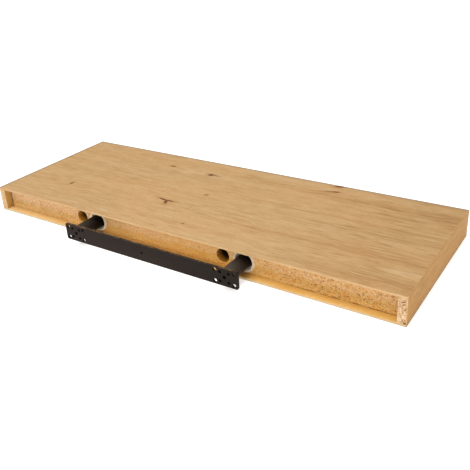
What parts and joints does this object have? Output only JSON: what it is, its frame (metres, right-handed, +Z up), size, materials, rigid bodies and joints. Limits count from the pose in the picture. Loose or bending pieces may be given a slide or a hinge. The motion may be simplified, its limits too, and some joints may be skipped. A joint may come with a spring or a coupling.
{
  "type": "floating wall shelf",
  "caption": "Hollow oak-faced board that slides onto the tubes of a black steel wall bracket, with no support in sight.",
  "frame": {"origin": "middle of the bracket plate's wall face", "axes": "+X to the right and -Y to the front for someone facing the wall, +Y into the wall, +Z up"},
  "size_m": [0.65, 0.268, 0.038],
  "materials": {
    "oak_sheet": "satin oak-look face on 3 mm fibreboard",
    "oak_band": "satin oak-look edge band",
    "chipboard": "raw particle board",
    "honeycomb_card": "raw paper honeycomb",
    "sleeve_plastic": "moulded, matt",
    "black_steel": "black powder coat",
    "black_plastic": "moulded, matt"
  },
  "bodies": {
    "bracket": {"bracket_plate": "black_steel", "tube_left": "black_steel", "tube_right": "black_steel", "tube_welds": "black_steel", "tube_plug_left": "black_plastic", "tube_plug_right": "black_plastic"},
    "board": {"top_skin": "oak_sheet", "bottom_skin": "oak_sheet", "front_edge_band": "oak_band", "end_band_left": "oak_band", "end_band_right": "oak_band", "end_strip_left": "chipboard", "end_strip_right": "chipboard", "front_rail": "chipboard", "rear_rail": "chipboard", "batten_left": "chipboard", "batten_right": "chipboard", "core_left": "honeycomb_card", "core_center": "honeycomb_card", "core_right": "honeycomb_card", "rod_sleeve_left": "sleeve_plastic", "rod_sleeve_right": "sleeve_plastic"}
  },
  "joints": [
    {"name": "board_slide", "type": "slide", "parent": "bracket", "child": "board", "axis": [0, 1, 0], "range_m": [-0.065, 0.033]}
  ]
}
